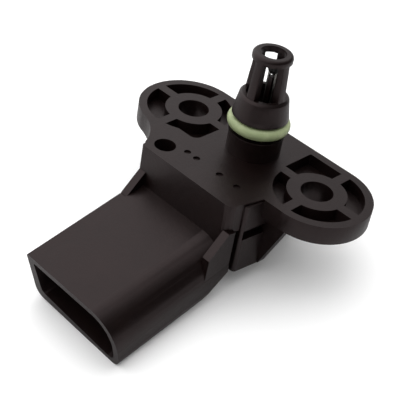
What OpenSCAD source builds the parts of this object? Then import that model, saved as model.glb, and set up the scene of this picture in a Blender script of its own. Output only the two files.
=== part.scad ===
// Manifold absolute pressure and temperature sensor, millimetres.
// Z runs up the pressure nozzle, Y from the connector mouth towards the far edge of the
// flange. The origin is on the nozzle's axis, in the face that meets the manifold.

/* [Flange] */
// Distance between the two fixing holes
hole_pitch = 36; // [35:0.5:40]
// Diameter of a fixing hole, for an M6 screw
hole_d = 6.8; // [6.4:0.1:7]
// Radius of the rounded ends of the flange, half of its width
ear_r = 11.3; // [10.8:0.1:12]
// Distance from the nozzle's axis to the centre of the right ear's rounding
ear_x = 18.5; // [18:0.1:20]
// Distance from the nozzle's axis to the centre of the left ear's rounding
left_ear_x = 18.9; // [18:0.1:20]
// Offset of the left ear's rounding towards the connector
left_ear_y = 0.3; // [0:0.1:0.6]
// Thickness of the flange
flange_t = 4.2; // [3.8:0.1:5]
// Outer diameter of the boss round a fixing hole
boss_d = 12.6; // [11:0.1:13]
// Width of the cross ribs that tie a boss to the rim
rib_w = 2.2; // [1.6:0.1:3]
// Width of the rim outside the ear pockets
rim_w = 1.8; // [1.4:0.1:2.2]
// Depth of the ear pockets
pocket_h = 2.6; // [1:0.1:2.8]
// Distance from the nozzle's axis to the inner edge of the right square pocket
right_pocket_x = 8.4; // [8.2:0.1:9.6]
// Distance from the nozzle's axis to the inner edge of the left square pocket
left_pocket_x = 8.9; // [8.2:0.1:9.6]
// Width of the flange's edge outside the right square pocket
right_pocket_edge = 2; // [1.8:0.1:3]
// Width of the flange's edge outside the left square pocket
left_pocket_edge = 2.9; // [1.8:0.1:3.2]
// Height of the bosses below the flange
boss_h = 1.6; // [0.5:0.1:2.4]
// Thickness of the braces under the ears
brace_t = 2; // [1.4:0.1:2.6]
// Reach of a brace along the ear
brace_reach = 5.4; // [4:0.1:7]
// Distance from the nozzle's axis to the near face of the braces
brace_y = 9.4; // [8:0.1:10]

/* [Block] */
// Half width of the block and the chamber at their widest
body_x = 14.2; // [13.8:0.1:14.6]
// Distance from the nozzle's axis to the block's left front corner
block_left = 13.7; // [13.2:0.1:14]
// Distance from the nozzle's axis to the front wall of the block
block_y = 19.2; // [18.5:0.1:21]
// Height of the block's side walls
block_h = 6.5; // [6:0.1:7.5]
// Radius of the hollow neck between the left ear and the block
neck_r = 11.8; // [10:0.1:12.5]
// Radius of the block's right front corner
block_corner_r = 1.8; // [1:0.1:2.5]
// Distance from the nozzle's axis to the block's right front corner
block_right = 12.3; // [12:0.1:13.4]
// Diameter of the blind locating hole
locator_d = 4.6; // [3:0.1:5]
// Depth of the blind locating hole
locator_h = 3; // [2:0.1:4]
// Diameter of the four ejector marks
mark_d = 1.5; // [0.8:0.1:1.8]
// Depth of the ejector marks
mark_h = 0.4; // [0.1:0.05:0.5]

/* [Chamber] */
// Depth of the chamber's rim below the flange face
chamber_bottom = 17; // [16:0.1:18]
// Distance from the nozzle's axis to the chamber's near wall
chamber_near = 15.9; // [15.6:0.1:16.4]
// Half width of the chamber's near wall
near_x = 13.5; // [13:0.1:14]
// Distance from the nozzle's axis to the chamber's far wall
chamber_far = 6; // [5.6:0.1:7]
// Distance from the nozzle's axis to where the chamber's sides start to draw in
chamber_side = 8.8; // [8:0.1:9.2]
// Half width of the chamber's far wall
far_x = 10.6; // [10:0.1:12]
// Radius of the chamber's upright corners
chamber_r = 0.8; // [0.6:0.1:1.5]
// Thickness of the chamber's walls
chamber_wall = 2.4; // [2:0.1:2.8]
// Depth of the chamber's roof below the flange face
roof_depth = 4.8; // [4.6:0.1:5.2]
// Height of the groove between the block and the chamber
groove_h = 2.3; // [1:0.1:2.4]
// Depth of the groove between the block and the chamber
groove_depth = 1.4; // [0.6:0.1:1.4]
// Thickness of the connector's root behind the front wall
root_t = 1.8; // [1.6:0.1:2]
// Half width of the root on its left
root_left = 13.4; // [13:0.1:13.6]
// Half width of the root on its right
root_right = 13.1; // [13:0.1:13.4]
// Half width of the web between the root and the chamber
root_web_x = 10; // [9:0.1:11]
// Thickness of the back cover
cover_t = 1.6; // [1.2:0.1:2]
// Width of the rim round the back cover
cover_rim = 1; // [0.8:0.1:1.2]
// Gap round the back cover
cover_gap = 0.1; // [0.05:0.01:0.2]
// Width of the sealant bead under the back cover
bead_w = 0.6; // [0.4:0.05:0.8]
// Depth of the sealant bead's groove
bead_h = 0.5; // [0.3:0.05:0.8]

/* [Connector] */
// Angle by which the connector dips below the flange
dip = 12.8; // [10:0.1:14]
// Depth of the connector's top below the flange face, at the front wall
connector_drop = 9.2; // [8.8:0.1:9.8]
// Length of the connector's top, from the front wall to the mouth
connector_length = 29.2; // [26:0.1:31]
// Height of the connector's outside on its left
connector_h_left = 11; // [10:0.1:11.4]
// Height of the connector's outside on its right
connector_h_right = 11.7; // [11.2:0.1:12]
// Half width of the connector at its widest
connector_x = 13.3; // [12.8:0.1:14]
// Radius of the large shoulder on the connector's right
shoulder_r = 7; // [5:0.1:8]
// Radius of the connector's lower edges
lower_r = 2.4; // [1.8:0.1:3]
// Lean of the connector's left side, from its top to its bottom
side_lean = 1.1; // [0:0.1:1.6]
// Widening of the connector's left side, from its root to the mouth
flare = 1.8; // [0:0.1:2]
// Wall above the socket
socket_roof = 1.35; // [1.2:0.05:1.8]
// Wall on the right of the socket
socket_side = 1.4; // [1.2:0.05:1.8]
// Wall on the left of the socket
socket_left = 2; // [1.4:0.05:2.2]
// Wall below the socket on the left
socket_floor_left = 2; // [1.2:0.05:2.2]
// Wall below the socket on the right
socket_floor_right = 1.2; // [1:0.05:1.6]
// Depth of the socket
socket_depth = 20; // [17:0.1:20.5]
// Thickness of the webs beside the connector's root
gusset_t = 1.8; // [1.5:0.1:2.4]
// Reach of the webs in front of the front wall
gusset_reach = 4.7; // [4:0.1:6]
// Depth of the webs' top below the flange face, at the front wall
gusset_top = 5.9; // [5.6:0.1:6.4]
// Depth of the webs' foot below the flange face
gusset_foot = 19; // [17:0.1:20]

/* [Terminals] */
// Distance between two terminals
terminal_pitch = 5; // [4:0.1:5.4]
// Width of a terminal's blade
blade_w = 2.8; // [1.6:0.1:3]
// Width of a terminal inside the housing
strip_w = 1.8; // [1.2:0.1:2.4]
// Thickness of a terminal
terminal_t = 0.8; // [0.5:0.05:0.9]
// Free length of a blade in the socket
blade_length = 9.5; // [7:0.1:12]

/* [Nozzle] */
// Diameter of the nozzle's base
base_d = 11.6; // [11:0.1:12]
// Height of the nozzle's base
base_h = 4.9; // [4.6:0.1:5.4]
// Diameter of the thin lip at the top of the base
lip_d = 12; // [11.8:0.05:12.4]
// Thickness of the lip
lip_h = 0.4; // [0.3:0.05:0.8]
// Width of the sealing ring's groove
ring_groove_h = 3.3; // [2.7:0.1:3.4]
// Diameter of the barrel's lower edge, above the sealing ring
barrel_foot_d = 12; // [11.4:0.1:12.4]
// Diameter of the barrel's upper edge
barrel_d = 10.4; // [10:0.1:11.6]
// Height of the barrel's top above the flange face
barrel_top = 13.6; // [13:0.1:14.5]
// Chamfer of the barrel's edges
barrel_chamfer = 0.5; // [0.3:0.1:0.6]
// Diameter of the cage at the barrel's top
cage_foot_d = 9.2; // [8.8:0.1:9.4]
// Diameter of the cage below the collar
cage_head_d = 7.9; // [7.4:0.1:8.2]
// Diameter of the collar at the tip
collar_d = 8.4; // [8.2:0.1:9]
// Height of the collar
collar_h = 1.4; // [1.2:0.1:2]
// Rounding of the collar's upper edge
collar_edge_r = 0.7; // [0.3:0.1:0.9]
// Height of the nozzle above the flange face
nozzle_h = 23; // [22:0.1:24]
// Diameter of the hole in the tip
tip_hole_d = 5.4; // [4.8:0.1:5.6]
// Diameter of the hollow inside the cage
cage_hole_d = 5.8; // [5.6:0.1:6.2]
// Diameter of the four wells below the windows
well_d = 7.8; // [7:0.1:8.4]
// Depth of the wells below the barrel's top
well_depth = 4; // [1:0.1:4.6]
// Width of the four posts of the cage
post_w = 2; // [1.6:0.1:2.4]
// Diameter of the pressure channel
channel_d = 2.2; // [1.6:0.1:2.4]
// Inner diameter of the sealing ring on the nozzle
ring_bore_d = 8.1; // [7.8:0.05:8.4]
// Thickness of the sealing ring
ring_t = 2.62; // [2.4:0.02:2.7]

/* [Thermistor] */
// Diameter of the thermistor's bead
bead_d = 2.6; // [2.4:0.1:2.8]
// Depth of the bead's lower end below the nozzle's tip
bead_drop = 5.2; // [5:0.1:5.8]
// Length of the bead
bead_length = 2.8; // [2.8:0.1:3.4]
// Diameter of a lead
lead_d = 0.65; // [0.4:0.05:0.7]
// Distance between the two leads
lead_pitch = 1.8; // [1.6:0.1:1.9]
// Thickness of the tongue that parts the leads
tongue_t = 1; // [0.6:0.1:1]
// Gap between the tongue and the bead
tongue_gap = 0.6; // [0.4:0.1:3]

/* [Electronics] */
// Gap round the circuit board
board_gap = 0.2; // [0.1:0.05:0.4]
// Width of the ledge that holds the circuit board
ledge_w = 1.2; // [0.8:0.1:1.4]
// Thickness of the circuit board
board_t = 1; // [0.8:0.1:1.2]
// Length of the pressure cell's case
cell_x = 8; // [7:0.1:9]
// Width of the pressure cell's case
cell_y = 6; // [5.6:0.1:6.4]
// Height of the pressure cell's case
cell_h = 2.6; // [2.4:0.1:2.8]
// Thickness of the walls and of the floor of the cell's case
cell_wall = 0.8; // [0.6:0.05:0.9]
// Side of the pressure chip and of its glass pedestal
chip_side = 2.2; // [1.8:0.1:2.4]
// Height of the glass pedestal
pedestal_h = 0.6; // [0.4:0.05:0.7]
// Thickness of the pressure chip
chip_t = 0.4; // [0.3:0.05:0.5]
// Depth of the gel over the floor of the cell's case
gel_h = 1.5; // [1.4:0.05:1.7]
// Height of a bond wire's loop over the chip
loop_h = 0.25; // [0.15:0.05:0.3]
// Reach of a bond wire's loop
loop_x = 1.1; // [1:0.1:1.4]
// Distance between two bond wires
wire_pitch = 1.2; // [0.8:0.1:1.6]
// Length of a capacitor
capacitor_x = 3.2; // [2:0.1:3.2]
// Width of a capacitor
capacitor_y = 1.6; // [1.2:0.1:1.6]
// Height of a capacitor
capacitor_h = 1.2; // [0.8:0.1:1.4]
// Gap between a capacitor and its neighbour
capacitor_gap = 1; // [0.4:0.1:1.4]
// Diameter of a bond wire
wire_d = 0.1; // [0.08:0.01:0.15]

/* [Hidden] */
$fn = 64;
// Overlap of solids that are one piece, and of a cut past the face it opens
lap = 0.5;
plastic = [0.13, 0.12, 0.12];
metal = [0.75, 0.76, 0.78];
// The channel and the leads lie on either side of the nozzle's axis
channel_y = -1.8;
lead_y = 1.3;
bead_z = nozzle_h - bead_drop;
tongue_top = bead_z - tongue_gap;
lead_xs = [-lead_pitch / 2, lead_pitch / 2];
// Centre of the hollow neck's arc, which touches the ear's rounding at neck_start
left_ear = [-left_ear_x, -left_ear_y];
neck_x = -24.9;
neck = [neck_x, left_ear[1] - sqrt(pow(ear_r + neck_r, 2) - pow(neck_x - left_ear[0], 2))];
neck_start = left_ear + (neck - left_ear) * ear_r / (ear_r + neck_r);
neck_end_y = 1.2 - block_y;
locator = [-10.85, -15.3];
marks = [[-6.5, -13], [-3.8, -13], [2.8, -13], [7.7, -13]];
sharp_r = 0.5;
hair = 0.003;
root_chamfer = 2.8;
root_slope = 0.74;
root_back = -block_y + root_t;
// Plan of the chamber's outside, listed anticlockwise
chamber_plan = [[-near_x, -chamber_near], [near_x, -chamber_near], [body_x, -chamber_side],
                [far_x, chamber_far], [-far_x, chamber_far], [-body_x, -chamber_side]];
connector_left = -connector_x - 0.2;
// Levels, measured up from the flange face
board_top = -roof_depth - cell_h;
board_bottom = board_top - board_t;
cover_top = cover_t - chamber_bottom;
groove_top = base_h + ring_groove_h;
ring_z = groove_top - ring_t / 2 - 0.02;
cage_floor = barrel_top - well_depth;
collar_bottom = nozzle_h - collar_h;
cell_mid = channel_y - 0.8;
// Terminals: middle of a blade below the connector's top, and the bends of the strip
blade_drop = 5.6;
terminal_xs = [for (i = [-1.5 : 1.5]) i * terminal_pitch];
riser_y = -17.4;
strip_z = -6.1;
pin_y = chamber_wall + ledge_w + 0.8 - chamber_near;
pin_w = 1;

// Points where a belt round the circles [x, y, r] meets and leaves them
function belt(c) = [
    for (i = [0 : len(c) - 1])
        let (a = c[i], b = c[(i + 1) % len(c)],
             d = [b[0] - a[0], b[1] - a[1]], l = norm(d),
             s = (a[2] - b[2]) / l, q = sqrt(1 - s * s),
             n = [(s * d[0] + q * d[1]) / l, (s * d[1] - q * d[0]) / l])
        each [[a[0], a[1]] + a[2] * n, [b[0], b[1]] + b[2] * n]
];

// Outline whose corners are the circles [x, y, r], listed anticlockwise. The arcs are a
// hair larger, so that the straight stretches cross them instead of grazing them
module rounded(c) {
    polygon(belt(c));
    for (p = c) translate([p[0], p[1]]) circle(r = p[2] + hair);
}

// Inward normal of the edge from a to b of an anticlockwise outline
function inward(a, b) = [a[1] - b[1], b[0] - a[0]] / norm(b - a);

// Corners of an anticlockwise outline whose edges are moved inwards by d
function moved_in(outline, d) = [
    for (i = [0 : len(outline) - 1])
        let (n = len(outline), p = outline[i],
             m = inward(outline[(i + n - 1) % n], p), k = inward(p, outline[(i + 1) % n]))
        p + d * (m + k) / (1 + m * k)
];

// Outline of the chamber moved inwards by inset, with corners of radius r
module chamber_outline(inset, r) {
    rounded([for (p = moved_in(chamber_plan, inset + r)) [p[0], p[1], r]]);
}

// Normal of leg i of a path
function leg_normal(path, i) =
    let (d = path[i + 1] - path[i]) [-d[1], d[0]] / norm(d);

// Edge of a strip of sheet along a path, t to the left of it, with mitred bends
function strip_edge(path, t) = [
    for (i = [0 : len(path) - 1])
        let (a = leg_normal(path, max(i - 1, 0)), b = leg_normal(path, min(i, len(path) - 2)))
        path[i] + t * (a + b) / (1 + a * b)
];

// Strip of sheet along a path in the YZ plane, as wide as w along X
module strip(path, w) {
    left = strip_edge(path, terminal_t / 2);
    right = strip_edge(path, -terminal_t / 2);
    rotate([90, 0, 90]) translate([0, 0, -w / 2]) linear_extrude(w)
        polygon(concat(left, [for (i = [len(path) - 1 : -1 : 0]) right[i]]));
}

// Puts its children at both fixing holes, the left one turned by half a round
module at_ears() {
    for (a = [0, 180]) rotate(a) translate([hole_pitch / 2, 0]) children();
}

// Moves its children to the connector's top at the front wall: X across, Y up, Z to the mouth
module at_connector() {
    translate([0, -block_y, -connector_drop]) rotate([90 + dip, 0, 0]) children();
}

// Curved pockets and one square-cornered pocket lie round a boss, between its ribs.
// The ear's rounding is about middle, and the square pocket reaches to [inner_x, edge_y]
module ear_pockets(middle, inner_x, edge_y, r) {
    reach = 2 * ear_r;
    difference() {
        union() {
            translate(middle) circle(r = ear_r - rim_w);
            rounded([[inner_x + r, 0, r], [0, 0, r], [0, edge_y - r, r], [inner_x + r, edge_y - r, r]]);
        }
        circle(d = boss_d);
        translate([-reach, -rib_w / 2]) square([2 * reach, rib_w]);
        translate([-rib_w / 2, -reach]) square([rib_w, 2 * reach]);
        translate([inner_x - reach, -reach]) square([reach, 2 * reach]);
    }
}

module pockets() {
    hole_x = hole_pitch / 2;
    translate([hole_x, 0]) ear_pockets([ear_x - hole_x, 0], right_pocket_x - hole_x,
                                       ear_r - right_pocket_edge, 0.3);
    rotate(180) translate([hole_x, 0])
        ear_pockets([left_ear_x - hole_x, left_ear_y], left_pocket_x - hole_x,
                    ear_r - left_pocket_edge, 1.8);
}

module flange() {
    translate([0, 0, -flange_t]) linear_extrude(flange_t)
        rounded([[left_ear[0], left_ear[1], ear_r], [ear_x, 0, ear_r]]);
    at_ears() translate([0, 0, -flange_t - boss_h]) cylinder(d = boss_d, h = boss_h + lap);
}

// The block runs out from the flange, with a hollow neck on its left
module block() {
    r = block_corner_r;
    translate([0, 0, -block_h]) linear_extrude(block_h)
        rounded([[-block_left + sharp_r, -block_y + sharp_r, sharp_r],
                 [block_right - r, -block_y + r, r],
                 [body_x - sharp_r, -chamber_side, sharp_r],
                 [-body_x + sharp_r, -chamber_side, sharp_r]]);
    translate([0, 0, -flange_t]) linear_extrude(flange_t) difference() {
        translate([neck_start[0], neck_end_y])
            square([-neck_start[0] - block_left + lap, neck_start[1] - neck_end_y + lap]);
        translate(neck) circle(r = neck_r, $fn = 128);
    }
}

// Braces carry the ears from the chamber's sides
module braces() {
    rise = chamber_bottom - flange_t;
    brace_root = 0.9;
    brace_foot = 0.1;
    for (side = [0, 1]) mirror([side, 0, 0])
        translate([body_x, brace_t - brace_y, -flange_t]) rotate([90, 0, 0])
            linear_extrude(brace_t)
                polygon([[-brace_root, lap], [-brace_root, -rise], [brace_foot, -rise],
                         [brace_reach, 0], [brace_reach, lap]]);
}

module chamber_walls() {
    translate([0, 0, -chamber_bottom]) linear_extrude(chamber_bottom - lap)
        chamber_outline(0, chamber_r);
}

// Root of the connector and the webs on either side of it
module root() {
    foot_z = root_chamfer - gusset_foot;
    lean_y = -block_y - gusset_reach;
    translate([-root_left, -block_y, foot_z])
        cube([root_left + root_right, root_t, -foot_z - block_h + lap]);
    translate([-root_web_x, root_back - lap, foot_z])
        cube([2 * root_web_x, chamber_wall + lap, -foot_z - block_h + lap]);
    for (x = [-root_left, root_right - gusset_t])
        translate([x, 0, 0]) rotate([90, 0, 90]) linear_extrude(gusset_t)
            polygon([[-block_y + lap, -gusset_top], [-block_y, -gusset_top],
                     [lean_y + 0.5, -gusset_top - 4.1], [lean_y, -gusset_top - 4.7],
                     [lean_y - 0.1, -gusset_foot + 2.6], [lean_y + 1.6, -gusset_foot],
                     [root_back - root_chamfer / root_slope, -gusset_foot], [root_back, foot_z],
                     [root_back, -gusset_top - lap]]);
}

// Waste outside a large rounding of radius r whose sharp corner is at the origin
module shoulder_waste(r) {
    translate([-r, -r]) difference() {
        square(r + lap);
        circle(r = r);
    }
}

// Outline of the connector, its top on the X axis; the right side has a large shoulder
module connector_outline() {
    difference() {
        rounded([[connector_left + sharp_r, -sharp_r, sharp_r],
                 [connector_left + side_lean + lower_r, lower_r - connector_h_left, lower_r],
                 [connector_x - lower_r, lower_r - connector_h_right, lower_r],
                 [connector_x - sharp_r, -sharp_r, sharp_r]]);
        translate([connector_x, 0]) shoulder_waste(shoulder_r);
    }
}

// Outline of the socket inside the connector
module socket_outline() {
    left_x = connector_left + socket_left;
    right_x = connector_x - socket_side;
    left_r = 1.5;
    right_r = 1.7;
    difference() {
        rounded([[left_x + sharp_r, -socket_roof - sharp_r, sharp_r],
                 [left_x + side_lean + left_r, socket_floor_left + left_r - connector_h_left, left_r],
                 [right_x - right_r, socket_floor_right + right_r - connector_h_right, right_r],
                 [right_x - sharp_r, -socket_roof - sharp_r, sharp_r]]);
        translate([right_x, -socket_roof]) shoulder_waste(shoulder_r - socket_side);
    }
}

// Waste on the left of a plane that widens by flare from the root to the mouth, shifted by x
module flare_waste(x) {
    behind = 5;
    left = connector_left + x;
    rotate([90, 0, 0]) translate([0, 0, -lap]) linear_extrude(connector_h_right + 2 * lap)
        polygon([[left, -connector_length - lap], [left + flare, 0], [left + flare, behind],
                 [left - 2, behind], [left - 2, -connector_length - lap]]);
}

// Shroud of the connector; its left side widens towards the mouth
module connector() {
    at_connector() difference() {
        translate([0, 0, -4]) linear_extrude(connector_length + 4) connector_outline();
        flare_waste(0);
    }
}

// Waste behind the connector's root, whose lower rear corner is cut off aslant
module root_waste() {
    foot_z = root_chamfer - gusset_foot;
    low = -2 * chamber_bottom;
    rotate([90, 0, 90]) translate([0, 0, -2 * body_x]) linear_extrude(4 * body_x)
        polygon([[root_back, 0], [root_back, foot_z],
                 [root_back + (low - foot_z) / root_slope, low], [0, low], [0, 0]]);
}

// Base, barrel, cage and collar of the nozzle, turned about its axis
module nozzle_body() {
    e = collar_edge_r;
    c = barrel_chamfer;
    rotate_extrude() {
        polygon([[0, -lap], [base_d / 2, -lap], [base_d / 2, base_h - lip_h],
                 [lip_d / 2, base_h - lip_h], [lip_d / 2, base_h], [ring_bore_d / 2, base_h],
                 [ring_bore_d / 2, groove_top], [barrel_foot_d / 2 - c, groove_top],
                 [barrel_foot_d / 2, groove_top + c], [barrel_d / 2, barrel_top - c],
                 [barrel_d / 2 - c, barrel_top], [cage_foot_d / 2, barrel_top],
                 [cage_head_d / 2, collar_bottom], [collar_d / 2, collar_bottom],
                 [collar_d / 2, nozzle_h - e], [collar_d / 2 - e, nozzle_h], [0, nozzle_h]]);
        translate([collar_d / 2 - e, nozzle_h - e]) circle(r = e);
    }
}

// Tongue that parts the thermistor's leads inside the cage
module tongue() {
    translate([-tongue_t / 2, lead_y - 0.6, cage_floor - lap])
        cube([tongue_t, 1.2, tongue_top - cage_floor + lap]);
}

// The hollow of the cage, the windows between its posts and the wells below them
module nozzle_cuts() {
    through = roof_depth + cage_floor + 2 * lap;
    difference() {
        union() {
            translate([0, 0, cage_floor]) cylinder(d = tip_hole_d, h = nozzle_h - cage_floor + lap);
            translate([0, 0, cage_floor]) cylinder(d = cage_hole_d, h = collar_bottom - cage_floor);
            for (a = [0 : 90 : 270]) rotate(a) {
                translate([post_w / 2, post_w / 2, barrel_top])
                    cube([collar_d, collar_d, collar_bottom - barrel_top]);
                intersection() {
                    translate([0, 0, cage_floor]) cylinder(d = well_d, h = well_depth + lap);
                    translate([post_w / 2, post_w / 2, cage_floor]) cube(well_d);
                }
            }
        }
        tongue();
    }
    translate([0, channel_y, -roof_depth - lap]) cylinder(d = channel_d, h = through);
    for (x = lead_xs) translate([x, lead_y, -roof_depth - lap])
        cylinder(d = lead_d, h = through, $fn = 24);
}

// Chamber behind the nozzle, with the board's ledge, the cover's seat and its bead's groove
module chamber_cuts() {
    translate([0, 0, -chamber_bottom - lap]) {
        linear_extrude(chamber_bottom + board_top + lap) chamber_outline(chamber_wall, chamber_r);
        linear_extrude(chamber_bottom - roof_depth + lap)
            chamber_outline(chamber_wall + ledge_w, chamber_r);
        linear_extrude(cover_t + lap) chamber_outline(cover_rim, chamber_r);
    }
    translate([0, 0, cover_top]) linear_extrude(bead_h) bead_outline();
}

// Closed outline of the sealant bead, in the middle of the cover's seat
module bead_outline() {
    outside = cover_rim + (chamber_wall - cover_rim - bead_w) / 2;
    difference() {
        chamber_outline(outside, 1);
        chamber_outline(outside + bead_w, 1 - bead_w);
    }
}

// Groove that parts the chamber's walls from the block
module parting_groove() {
    translate([0, 0, -block_h - groove_h]) linear_extrude(groove_h) difference() {
        translate([-body_x - lap, lap - chamber_near])
            square([2 * body_x + 2 * lap, chamber_near + chamber_far]);
        chamber_outline(groove_depth, chamber_r);
    }
}

module housing() {
    color(plastic) difference() {
        union() {
            flange();
            block();
            difference() {
                chamber_walls();
                parting_groove();
            }
            braces();
            root();
            difference() {
                connector();
                root_waste();
            }
            nozzle_body();
        }
        translate([0, 0, -pocket_h]) linear_extrude(pocket_h + lap) pockets();
        at_ears() translate([0, 0, -flange_t - boss_h - lap])
            cylinder(d = hole_d, h = flange_t + boss_h + 2 * lap);
        translate([locator[0], locator[1], -locator_h]) cylinder(d = locator_d, h = locator_h + lap);
        for (m = marks) translate([m[0], m[1], -mark_h]) cylinder(d = mark_d, h = mark_h + lap, $fn = 24);
        at_connector() difference() {
            translate([0, 0, connector_length - socket_depth])
                linear_extrude(socket_depth + lap) socket_outline();
            flare_waste(socket_left);
        }
        chamber_cuts();
        nozzle_cuts();
        for (x = terminal_xs) terminal(x);
    }
}

module o_ring() {
    color([0.66, 0.71, 0.54]) translate([0, 0, ring_z]) rotate_extrude()
        translate([(ring_bore_d + ring_t) / 2, 0]) circle(d = ring_t, $fn = 32);
}

module back_cover() {
    color(plastic) translate([0, 0, -chamber_bottom]) linear_extrude(cover_t)
        chamber_outline(cover_rim + cover_gap, chamber_r - cover_gap);
}

module cover_seal() {
    color([0.3, 0.3, 0.32]) translate([0, 0, cover_top]) linear_extrude(bead_h)
        bead_outline();
}

// The board's holes take the pins of the terminals and the thermistor's leads
module circuit_board() {
    color([0.1, 0.35, 0.2]) difference() {
        translate([0, 0, board_bottom]) linear_extrude(board_t)
            chamber_outline(chamber_wall + board_gap, chamber_r - board_gap);
        for (x = terminal_xs) terminal(x);
        for (x = lead_xs) thermistor_lead(x);
    }
}

module cell_case() {
    color([0.2, 0.2, 0.22]) translate([0, cell_mid, board_top]) difference() {
        translate([-cell_x / 2, -cell_y / 2, 0]) cube([cell_x, cell_y, cell_h]);
        translate([cell_wall - cell_x / 2, cell_wall - cell_y / 2, cell_wall])
            cube([cell_x - 2 * cell_wall, cell_y - 2 * cell_wall, cell_h]);
    }
}

module glass_pedestal() {
    color([0.8, 0.88, 0.86]) translate([-chip_side / 2, cell_mid - chip_side / 2, board_top + cell_wall])
        cube([chip_side, chip_side, pedestal_h]);
}

module pressure_chip() {
    color([0.4, 0.4, 0.46])
        translate([-chip_side / 2, cell_mid - chip_side / 2, board_top + cell_wall + pedestal_h])
            cube([chip_side, chip_side, chip_t]);
}

// Four wires lead from the chip's edge to the floor of the cell's case
module bond_wires() {
    top = board_top + cell_wall + pedestal_h + chip_t;
    start = chip_side / 2 - 0.3;
    fall = pedestal_h + chip_t;
    color([0.85, 0.7, 0.35]) for (side = [-1, 1], row = [-0.5, 0.5])
        translate([side * start, cell_mid + row * wire_pitch, top]) {
            cylinder(d = wire_d, h = loop_h, $fn = 12);
            translate([0, 0, loop_h]) {
                sphere(d = wire_d, $fn = 12);
                rotate([0, side * 90, 0]) cylinder(d = wire_d, h = loop_x, $fn = 12);
                translate([side * loop_x, 0, 0]) sphere(d = wire_d, $fn = 12);
            }
            translate([side * loop_x, 0, -fall]) cylinder(d = wire_d, h = fall + loop_h, $fn = 12);
        }
}

// Soft gel covers the chip and its wires and passes the pressure on
module protective_gel() {
    color([0.85, 0.87, 0.9, 0.6]) difference() {
        translate([cell_wall - cell_x / 2, cell_mid + cell_wall - cell_y / 2, board_top + cell_wall])
            cube([cell_x - 2 * cell_wall, cell_y - 2 * cell_wall, gel_h]);
        glass_pedestal();
        pressure_chip();
        bond_wires();
    }
}

// Capacitor whose near left corner lies at x and in the given row
module capacitor(x, row) {
    color([0.72, 0.6, 0.42])
        translate([x, row * (capacitor_y + capacitor_gap), board_bottom - capacitor_h])
            cube([capacitor_x, capacitor_y, capacitor_h]);
}

module thermistor() {
    r = bead_d / 2;
    color([0.2, 0.28, 0.2]) translate([0, lead_y, bead_z]) difference() {
        rotate_extrude() intersection() {
            union() {
                translate([0, r]) circle(r = r);
                translate([0, r]) square([r, bead_length - 2 * r]);
                translate([0, bead_length - r]) circle(r = r);
            }
            square([r, bead_length]);
        }
        for (x = lead_xs) translate([x, 0, -lap]) cylinder(d = lead_d, h = 1.5 + lap, $fn = 24);
    }
}

module thermistor_lead(x) {
    color(metal) translate([x, lead_y, board_bottom - 0.6])
        cylinder(d = lead_d, h = bead_z + 1.5 - board_bottom + 0.6, $fn = 24);
}

// A terminal: blade in the socket, strip in the housing, pin through the board
module terminal(x) {
    blade_end = connector_length - socket_depth + blade_length;
    bend = riser_y + block_y;
    function along(z) = [-block_y - z * cos(dip) + blade_drop * sin(dip),
                         -connector_drop - z * sin(dip) - blade_drop * cos(dip)];
    riser = (blade_drop * sin(dip) - bend) / cos(dip);
    foot = connector_length - socket_depth - 2;
    color(metal) translate([x, 0, 0]) {
        strip([along(blade_end), along(foot)], blade_w);
        strip([along(foot), along(riser), [riser_y, strip_z], [pin_y, strip_z]], strip_w);
        strip([[pin_y, strip_z], [pin_y, board_bottom - 0.6]], pin_w);
    }
}

housing();
o_ring();
back_cover();
cover_seal();
circuit_board();
cell_case();
glass_pedestal();
pressure_chip();
bond_wires();
protective_gel();
capacitor(-cell_x, 0);  // capacitor_1
capacitor(-cell_x, -1);  // capacitor_2
capacitor(cell_x / 2 + lap, 0);  // capacitor_3
thermistor();
thermistor_lead(lead_xs[0]);  // thermistor_lead_1
thermistor_lead(lead_xs[1]);  // thermistor_lead_2
terminal(terminal_xs[0]);  // terminal_1
terminal(terminal_xs[1]);  // terminal_2
terminal(terminal_xs[2]);  // terminal_3
terminal(terminal_xs[3]);  // terminal_4
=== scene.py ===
import math

import bpy
import numpy as np
from mathutils import Matrix, Vector

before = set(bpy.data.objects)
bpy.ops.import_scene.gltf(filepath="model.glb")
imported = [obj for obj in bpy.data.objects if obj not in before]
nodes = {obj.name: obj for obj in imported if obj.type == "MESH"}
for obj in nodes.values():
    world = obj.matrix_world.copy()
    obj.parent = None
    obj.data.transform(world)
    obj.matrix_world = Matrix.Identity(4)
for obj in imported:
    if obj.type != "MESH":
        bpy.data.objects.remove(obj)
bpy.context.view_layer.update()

# Housing: one moulding of glass-filled PBT, with the ears, the nozzle's cage and the plug's
# shroud. Its skin is the mould's spark-eroded one: near black, with a fine grain, a satin
# sheen that shows the light of the surroundings, and edges of a few tenths of a millimetre.

MM = 0.001
WHITE = (1.0, 1.0, 1.0, 1.0)
# Noise keeps mostly to this part of its range from 0 to 1
NOISE_LOW, NOISE_HIGH = 0.3, 0.7
NOISE_ROUGHNESS = 0.62


def linear(hex_colour):
    """Turns an sRGB hex colour into the linear RGBA that a shader's socket takes."""
    s = np.array([int(hex_colour[i:i + 2], 16) for i in (1, 3, 5)]) / 255
    rgb = np.where(s <= 0.04045, s / 12.92, ((s + 0.055) / 1.055) ** 2.4)
    return (*rgb.tolist(), 1.0)


def feed(tree, node, inputs):
    """Fills a node's inputs; each is a value, or (node, output) for a link."""
    for key, value in inputs.items():
        if isinstance(value, tuple) and isinstance(value[0], bpy.types.Node):
            tree.links.new(value[0].outputs[value[1]], node.inputs[key])
        else:
            node.inputs[key].default_value = value


def add(tree, kind, settings, inputs):
    """Adds a node of that kind with its settings and its inputs."""
    node = tree.nodes.new(kind)
    for key, value in settings.items():
        setattr(node, key, value)
    feed(tree, node, inputs)
    return node


def material(name):
    """A new node material; returns it with its tree and its Principled shader."""
    new = bpy.data.materials.new(name)
    new.use_nodes = True
    return new, new.node_tree, new.node_tree.nodes["Principled BSDF"]


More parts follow.
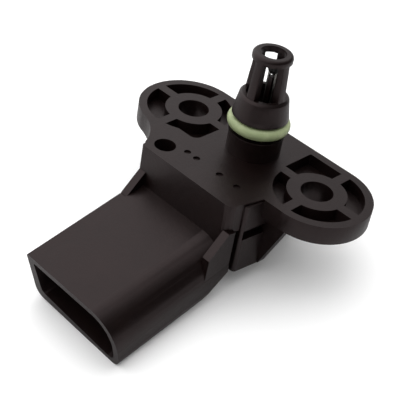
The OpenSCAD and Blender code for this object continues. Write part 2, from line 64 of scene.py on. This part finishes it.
def noise(tree, size_mm, detail=3.0, distortion=0.0, squeeze=(1.0, 1.0, 1.0)):
    """Noise with grains of size_mm in object space; squeeze shortens it along an axis."""
    place = add(tree, "ShaderNodeTexCoord", {}, {})
    room = add(tree, "ShaderNodeMapping", {}, {"Vector": (place, "Object"), "Scale": squeeze})
    return add(tree, "ShaderNodeTexNoise", {}, {
        "Vector": (room, "Vector"), "Scale": 1 / (size_mm * MM), "Detail": detail,
        "Roughness": NOISE_ROUGHNESS, "Distortion": distortion})


def ramp(tree, factor, dark, pale, low=0.35, high=0.7):
    """Colour between dark at low and pale at high of the factor."""
    node = add(tree, "ShaderNodeValToRGB", {}, {"Fac": factor})
    for stop, (place, colour) in zip(node.color_ramp.elements, ((low, dark), (high, pale))):
        stop.position = place
        stop.color = linear(colour)
    return node


def span(tree, factor, low, high):
    """The noise's usual range spread over low to high."""
    return add(tree, "ShaderNodeMapRange", {}, {
        "Value": factor, "From Min": NOISE_LOW, "From Max": NOISE_HIGH, "To Min": low,
        "To Max": high})


def bumps(tree, *layers):
    """Stacked bumps; each layer is (height, depth in mm, strength)."""
    node = None
    for height, depth_mm, strength in layers:
        inputs = {"Height": height, "Distance": depth_mm * MM, "Strength": strength}
        if node:
            inputs["Normal"] = (node, "Normal")
        node = add(tree, "ShaderNodeBump", {}, inputs)
    return node


def moulded_plastic(name, dark, pale, roughness, grain_mm, depth_mm, sheen_tint=WHITE):
    """Moulded plastic: the colour drifts over the melt's flow, the roughness with the grain,
    and two noises of grain_mm and a quarter of it make the eroded skin."""
    plastic, tree, shader = material(name)
    flow = noise(tree, size_mm=7.0, detail=5.0, distortion=0.8)
    grain = noise(tree, grain_mm)
    fine = noise(tree, grain_mm / 4, detail=2.0)
    skin = bumps(tree, ((flow, "Fac"), 0.12, 0.35), ((grain, "Fac"), depth_mm, 0.6),
                 ((fine, "Fac"), depth_mm / 3, 0.5))
    feed(tree, shader, {
        "Base Color": (ramp(tree, (flow, "Fac"), dark, pale), "Color"),
        "Roughness": (span(tree, (grain, "Fac"), roughness - 0.05, roughness + 0.07), "Result"),
        "IOR": 1.5, "Specular Tint": sheen_tint, "Normal": (skin, "Normal")})
    return plastic


def round_edges(name, width_mm):
    """Rounds a solid's edges: its triangles are welded, flat faces are joined again, and
    each sharp edge gets a bevel of width_mm in three facets."""
    weld_mm = 0.001
    flat_angle = math.radians(0.5)
    sharp_angle = math.radians(30)
    node = nodes[name]
    weld = node.modifiers.new("weld", "WELD")
    weld.merge_threshold = weld_mm * MM
    flat = node.modifiers.new("flat", "DECIMATE")
    flat.decimate_type = "DISSOLVE"
    flat.angle_limit = flat_angle
    edge = node.modifiers.new("edge", "BEVEL")
    edge.width = width_mm * MM
    edge.segments = 3
    edge.limit_method = "ANGLE"
    edge.angle_limit = sharp_angle
    edge.harden_normals = True
    edge.miter_outer = "MITER_ARC"


def finish_node(name, surface):
    """Puts a surface on a solid."""
    for slot in nodes[name].material_slots:
        slot.material = surface


pbt = moulded_plastic("pbt_spark_eroded_black", "#100706", "#170c0a", roughness=0.35,
                      grain_mm=0.5, depth_mm=0.03, sheen_tint=(1.0, 0.82, 0.83, 1.0))
finish_node("housing", pbt)
round_edges("housing", 0.35)

# Back cover: a flat plate of the same PBT, pressed into its seat and held by the sealant.
# Its edges are sharper than the housing's.

finish_node("back_cover", pbt)
round_edges("back_cover", 0.2)

# Cover seal: a bead of black silicone sealant, laid in the cover's seat and cured there.
# It is smooth, with a faint drift of tone.


def mottled(name, dark, pale, size_mm, roughness, pore_mm, depth_mm, metallic=0.0):
    """A smooth skin whose tone drifts over size_mm, with pores of pore_mm."""
    skin, tree, shader = material(name)
    drift = noise(tree, size_mm, detail=5.0)
    pores = noise(tree, pore_mm, detail=2.0)
    bump = bumps(tree, ((pores, "Fac"), depth_mm, 0.5))
    feed(tree, shader, {
        "Base Color": (ramp(tree, (drift, "Fac"), dark, pale), "Color"),
        "Roughness": (span(tree, (drift, "Fac"), roughness - 0.06, roughness + 0.06), "Result"),
        "Metallic": metallic, "Normal": (bump, "Normal")})
    return skin


sealant = mottled("silicone_sealant_black", "#1b1c1e", "#26272a", size_mm=2.0,
                  roughness=0.35, pore_mm=0.3, depth_mm=0.02)
finish_node("cover_seal", sealant)

# Sealing ring: moulded fluorocarbon rubber in pale green, stretched into the nozzle's groove.
# Its skin is smooth with a soft sheen, and dust and grease leave it slightly mottled.

rubber = mottled("fluorocarbon_rubber_green", "#98a579", "#aeb98c", size_mm=2.5,
                 roughness=0.42, pore_mm=0.3, depth_mm=0.01)
finish_node("o_ring", rubber)

# Circuit board: green glass-epoxy laminate under solder resist, set against the ledge in the
# chamber from below; the weave of the glass cloth stands faintly through the resist.


def laminate(name, dark, pale, thread_mm):
    """Solder resist over cloth: two crossed waves of thread_mm make the weave."""
    # Length of one wave of Blender's wave texture at a scale of 1
    wave_length = 0.314
    board, tree, shader = material(name)
    place = add(tree, "ShaderNodeTexCoord", {}, {})
    weave = [add(tree, "ShaderNodeTexWave", {"bands_direction": axis}, {
        "Vector": (place, "Object"), "Scale": wave_length / (thread_mm * MM),
        "Distortion": 0.6, "Detail": 2.0}) for axis in ("X", "Y")]
    cloth = add(tree, "ShaderNodeMath", {"operation": "MULTIPLY"},
                {0: (weave[0], "Fac"), 1: (weave[1], "Fac")})
    drift = noise(tree, size_mm=3.0, detail=4.0)
    bump = bumps(tree, ((cloth, "Value"), 0.02, 0.5))
    feed(tree, shader, {
        "Base Color": (ramp(tree, (drift, "Fac"), dark, pale), "Color"),
        "Roughness": (span(tree, (drift, "Fac"), 0.3, 0.4), "Result"),
        "Normal": (bump, "Normal")})
    return board


finish_node("circuit_board",
            laminate("fr4_solder_resist_green", "#0f4a2a", "#17603a", thread_mm=0.5))

# Capacitors: fired barium titanate ceramic, sandy brown with a dull skin. They hang on the
# board's underside.

ceramic = mottled("barium_titanate_ceramic", "#8a6a48", "#a1805b", size_mm=0.6,
                  roughness=0.45, pore_mm=0.08, depth_mm=0.01)
for name in ("capacitor_1", "capacitor_2", "capacitor_3"):
    finish_node(name, ceramic)

# Cell case: an open box of moulded grey PPS, glued on the board under the nozzle's channel.
# It is dull, with the same kind of skin as the housing but a finer grain.

pps = moulded_plastic("pps_moulded_grey", "#3a3c3e", "#4a4c4e", roughness=0.5,
                      grain_mm=0.3, depth_mm=0.02)
finish_node("cell_case", pps)

# Glass pedestal: a block of clear borosilicate glass that keeps the case's strain from the
# chip. Faint cords run through it.


def clear(name, tint, roughness, ior, cord_mm):
    """A clear body with faint cords of cord_mm that bend the light."""
    body, tree, shader = material(name)
    cords = noise(tree, cord_mm, detail=2.0, distortion=0.4)
    bump = bumps(tree, ((cords, "Fac"), 0.02, 0.3))
    feed(tree, shader, {
        "Base Color": linear(tint), "IOR": ior, "Transmission Weight": 0.95,
        "Roughness": (span(tree, (cords, "Fac"), roughness, roughness + 0.04), "Result"),
        "Normal": (bump, "Normal")})
    return body


glass = clear("borosilicate_glass", "#dfe8df", roughness=0.03, ior=1.47, cord_mm=0.5)
finish_node("glass_pedestal", glass)

# Pressure chip: etched silicon, blue grey and glossy. It stands on the pedestal.

silicon = mottled("silicon_etched", "#4a4e5c", "#5c6070", size_mm=0.5, roughness=0.22,
                  pore_mm=0.05, depth_mm=0.002, metallic=0.8)
finish_node("pressure_chip", silicon)

# Protective gel: clear silicone that covers the chip and its wires and passes the pressure on.

gel = clear("silicone_gel_clear", "#f2f2ea", roughness=0.05, ior=1.41, cord_mm=1.5)
finish_node("protective_gel", gel)

# Bond wires: drawn gold from the chip's edge to the floor of the cell's case. The die leaves
# fine lines along them.


def metal(name, dull, bright, roughness, line_mm):
    """Drawn or rolled metal: streaks of line_mm, much longer than wide, in tone and sheen."""
    stretch = 8.0
    surface, tree, shader = material(name)
    lines = noise(tree, line_mm * stretch, squeeze=(stretch, 1.0, 1.0))
    bump = bumps(tree, ((lines, "Fac"), 0.005, 0.4))
    feed(tree, shader, {
        "Base Color": (ramp(tree, (lines, "Fac"), dull, bright), "Color"),
        "Roughness": (span(tree, (lines, "Fac"), roughness - 0.08, roughness + 0.08), "Result"),
        "Metallic": 1.0, "Normal": (bump, "Normal")})
    return surface


gold = metal("gold_wire_drawn", "#d9a441", "#efc468", roughness=0.2, line_mm=0.05)
finish_node("bond_wires", gold)

# Terminals: bronze sheet with a plating of tin, stamped and bent. The housing is moulded
# round them, and their blades stand free in the socket.

tin = metal("tin_plated_bronze", "#aaa8a2", "#cfcdc8", roughness=0.36, line_mm=0.15)
for name in ("terminal_1", "terminal_2", "terminal_3", "terminal_4"):
    finish_node(name, tin)

# Thermistor: a bead dipped in dark epoxy, near the nozzle's tip, where the air flows past it.

epoxy = mottled("epoxy_coating_dark", "#120e0d", "#1e1917", size_mm=1.0, roughness=0.5,
                pore_mm=0.3, depth_mm=0.02)
finish_node("thermistor", epoxy)

# Thermistor leads: two tinned wires that carry the bead and run down to the circuit board.

wire = metal("tinned_wire_drawn", "#96948f", "#bab8b3", roughness=0.34, line_mm=0.08)
for name in ("thermistor_lead_1", "thermistor_lead_2"):
    finish_node(name, wire)

# Floor: a white sheet that the shroud's mouth rests on and that rises towards the far side,
# just clear of the chamber's rim. It shows only the soft shadow under the sensor.

MOUTH_FOOT = np.array([0, -45.0, -27.0]) * MM
FAR_POINT = np.array([0, 9.4, -17.05]) * MM
FLOOR_REACH = 2.0
# White of the sheet for the camera and for the light that it throws back, and the camera's
# extra glow, which hides where the sheet ends
PAPER_SEEN, PAPER_BOUNCE, PAPER_GLOW = 0.95, 0.5, 0.06


def floor_plane(near, far, reach):
    """A square of side 2*reach in the plane through two points of the YZ plane and along X."""
    along = (far - near) / np.linalg.norm(far - near)
    corners = np.array([[-1, -1], [1, -1], [1, 1], [-1, 1]]) * reach
    points = near + corners[:, :1] * np.array([1.0, 0.0, 0.0]) + corners[:, 1:] * along
    mesh = bpy.data.meshes.new("floor")
    mesh.from_pydata(points.tolist(), [], [(0, 1, 2, 3)])
    return bpy.data.objects.new("floor", mesh)


scene = bpy.context.scene
table = floor_plane(MOUTH_FOOT, FAR_POINT, FLOOR_REACH)
scene.collection.objects.link(table)
paper, paper_tree, paper_shader = material("white_paper_matt")
paper_path = add(paper_tree, "ShaderNodeLightPath", {}, {})
paper_glow = add(paper_tree, "ShaderNodeMath", {"operation": "MULTIPLY"},
                 {0: (paper_path, "Is Camera Ray"), 1: PAPER_GLOW})
paper_white = add(paper_tree, "ShaderNodeMapRange", {}, {
    "Value": (paper_path, "Is Camera Ray"), "To Min": PAPER_BOUNCE, "To Max": PAPER_SEEN})
feed(paper_tree, paper_shader, {
    "Base Color": (paper_white, "Result"), "Roughness": 0.95, "Specular IOR Level": 0.0,
    "Emission Color": WHITE, "Emission Strength": (paper_glow, "Value")})
table.data.materials.append(paper)

# Light: a white tent that is brightest high up behind on the left and dim on the right, where
# the room shows. The camera itself sees it white.

world = bpy.data.worlds.new("studio")
scene.world = world
world.use_nodes = True
tent = world.node_tree
tent.nodes.clear()
path = add(tent, "ShaderNodeLightPath", {}, {})
seen = add(tent, "ShaderNodeMath", {"operation": "MAXIMUM"},
           {0: (path, "Is Camera Ray"), 1: (path, "Is Transmission Ray")})
direction = add(tent, "ShaderNodeTexCoord", {}, {})


def tent_side(towards, start, dim, bright):
    """Light of the tent, from dim to bright as the direction turns towards a point."""
    turned = add(tent, "ShaderNodeVectorMath", {"operation": "DOT_PRODUCT"},
                 {0: (direction, "Generated"), 1: towards})
    return add(tent, "ShaderNodeMapRange", {"interpolation_type": "SMOOTHSTEP"}, {
        "Value": (turned, "Value"), "From Min": start, "From Max": 1.0, "To Min": dim,
        "To Max": bright})


mirrored = tent_side(towards=(-0.75, -0.25, 0.62), start=-0.1, dim=0.06, bright=1.15)
thrown = tent_side(towards=(-0.34, 0.10, 0.935), start=0.25, dim=0.24, bright=2.45)
level = add(tent, "ShaderNodeMix", {}, {
    "Factor": (path, "Is Diffuse Ray"), "A": (mirrored, "Result"), "B": (thrown, "Result")})
strength = add(tent, "ShaderNodeMix", {}, {
    "Factor": (seen, "Value"), "A": (level, "Result"), "B": 1.0})
sky = add(tent, "ShaderNodeBackground", {}, {"Color": WHITE, "Strength": (strength, "Result")})
add(tent, "ShaderNodeOutputWorld", {}, {"Surface": (sky, "Background")})

# Camera: 92 mm lens, 21.5 cm from the nozzle's foot, looking down over the right front, held
# slightly askew.

AZIMUTH, ELEVATION, ROLL = (math.radians(a) for a in (39.039, 36.325, -10.767))
# Place of the nozzle's foot along the camera's own axes: right, down and ahead
FOOT_IN_VIEW = Vector((11.111, -10.917, 214.921)) * MM
SENSOR_MM = 36
FOCAL_PIXELS = 1020.8
IMAGE_PIXELS = 400

back = Vector((math.sin(AZIMUTH) * math.cos(ELEVATION),
               -math.cos(AZIMUTH) * math.cos(ELEVATION), math.sin(ELEVATION)))
right = (-back).cross(Vector((0, 0, 1))).normalized()
down = (-back).cross(right)
right_rolled = math.cos(ROLL) * right + math.sin(ROLL) * down
down_rolled = math.cos(ROLL) * down - math.sin(ROLL) * right
to_view = Matrix((right_rolled, down_rolled, -back))
axes = Matrix((right_rolled, -down_rolled, back)).transposed()
camera = bpy.data.objects.new("camera", bpy.data.cameras.new("camera"))
camera.data.sensor_width = SENSOR_MM
camera.data.lens = SENSOR_MM * FOCAL_PIXELS / IMAGE_PIXELS
camera.data.clip_start = 0.01
camera.data.clip_end = 10
stand = -(to_view.transposed() @ FOOT_IN_VIEW)
camera.matrix_world = Matrix.Translation(stand) @ axes.to_4x4()
scene.collection.objects.link(camera)
scene.camera = camera
scene.view_settings.view_transform = "Standard"
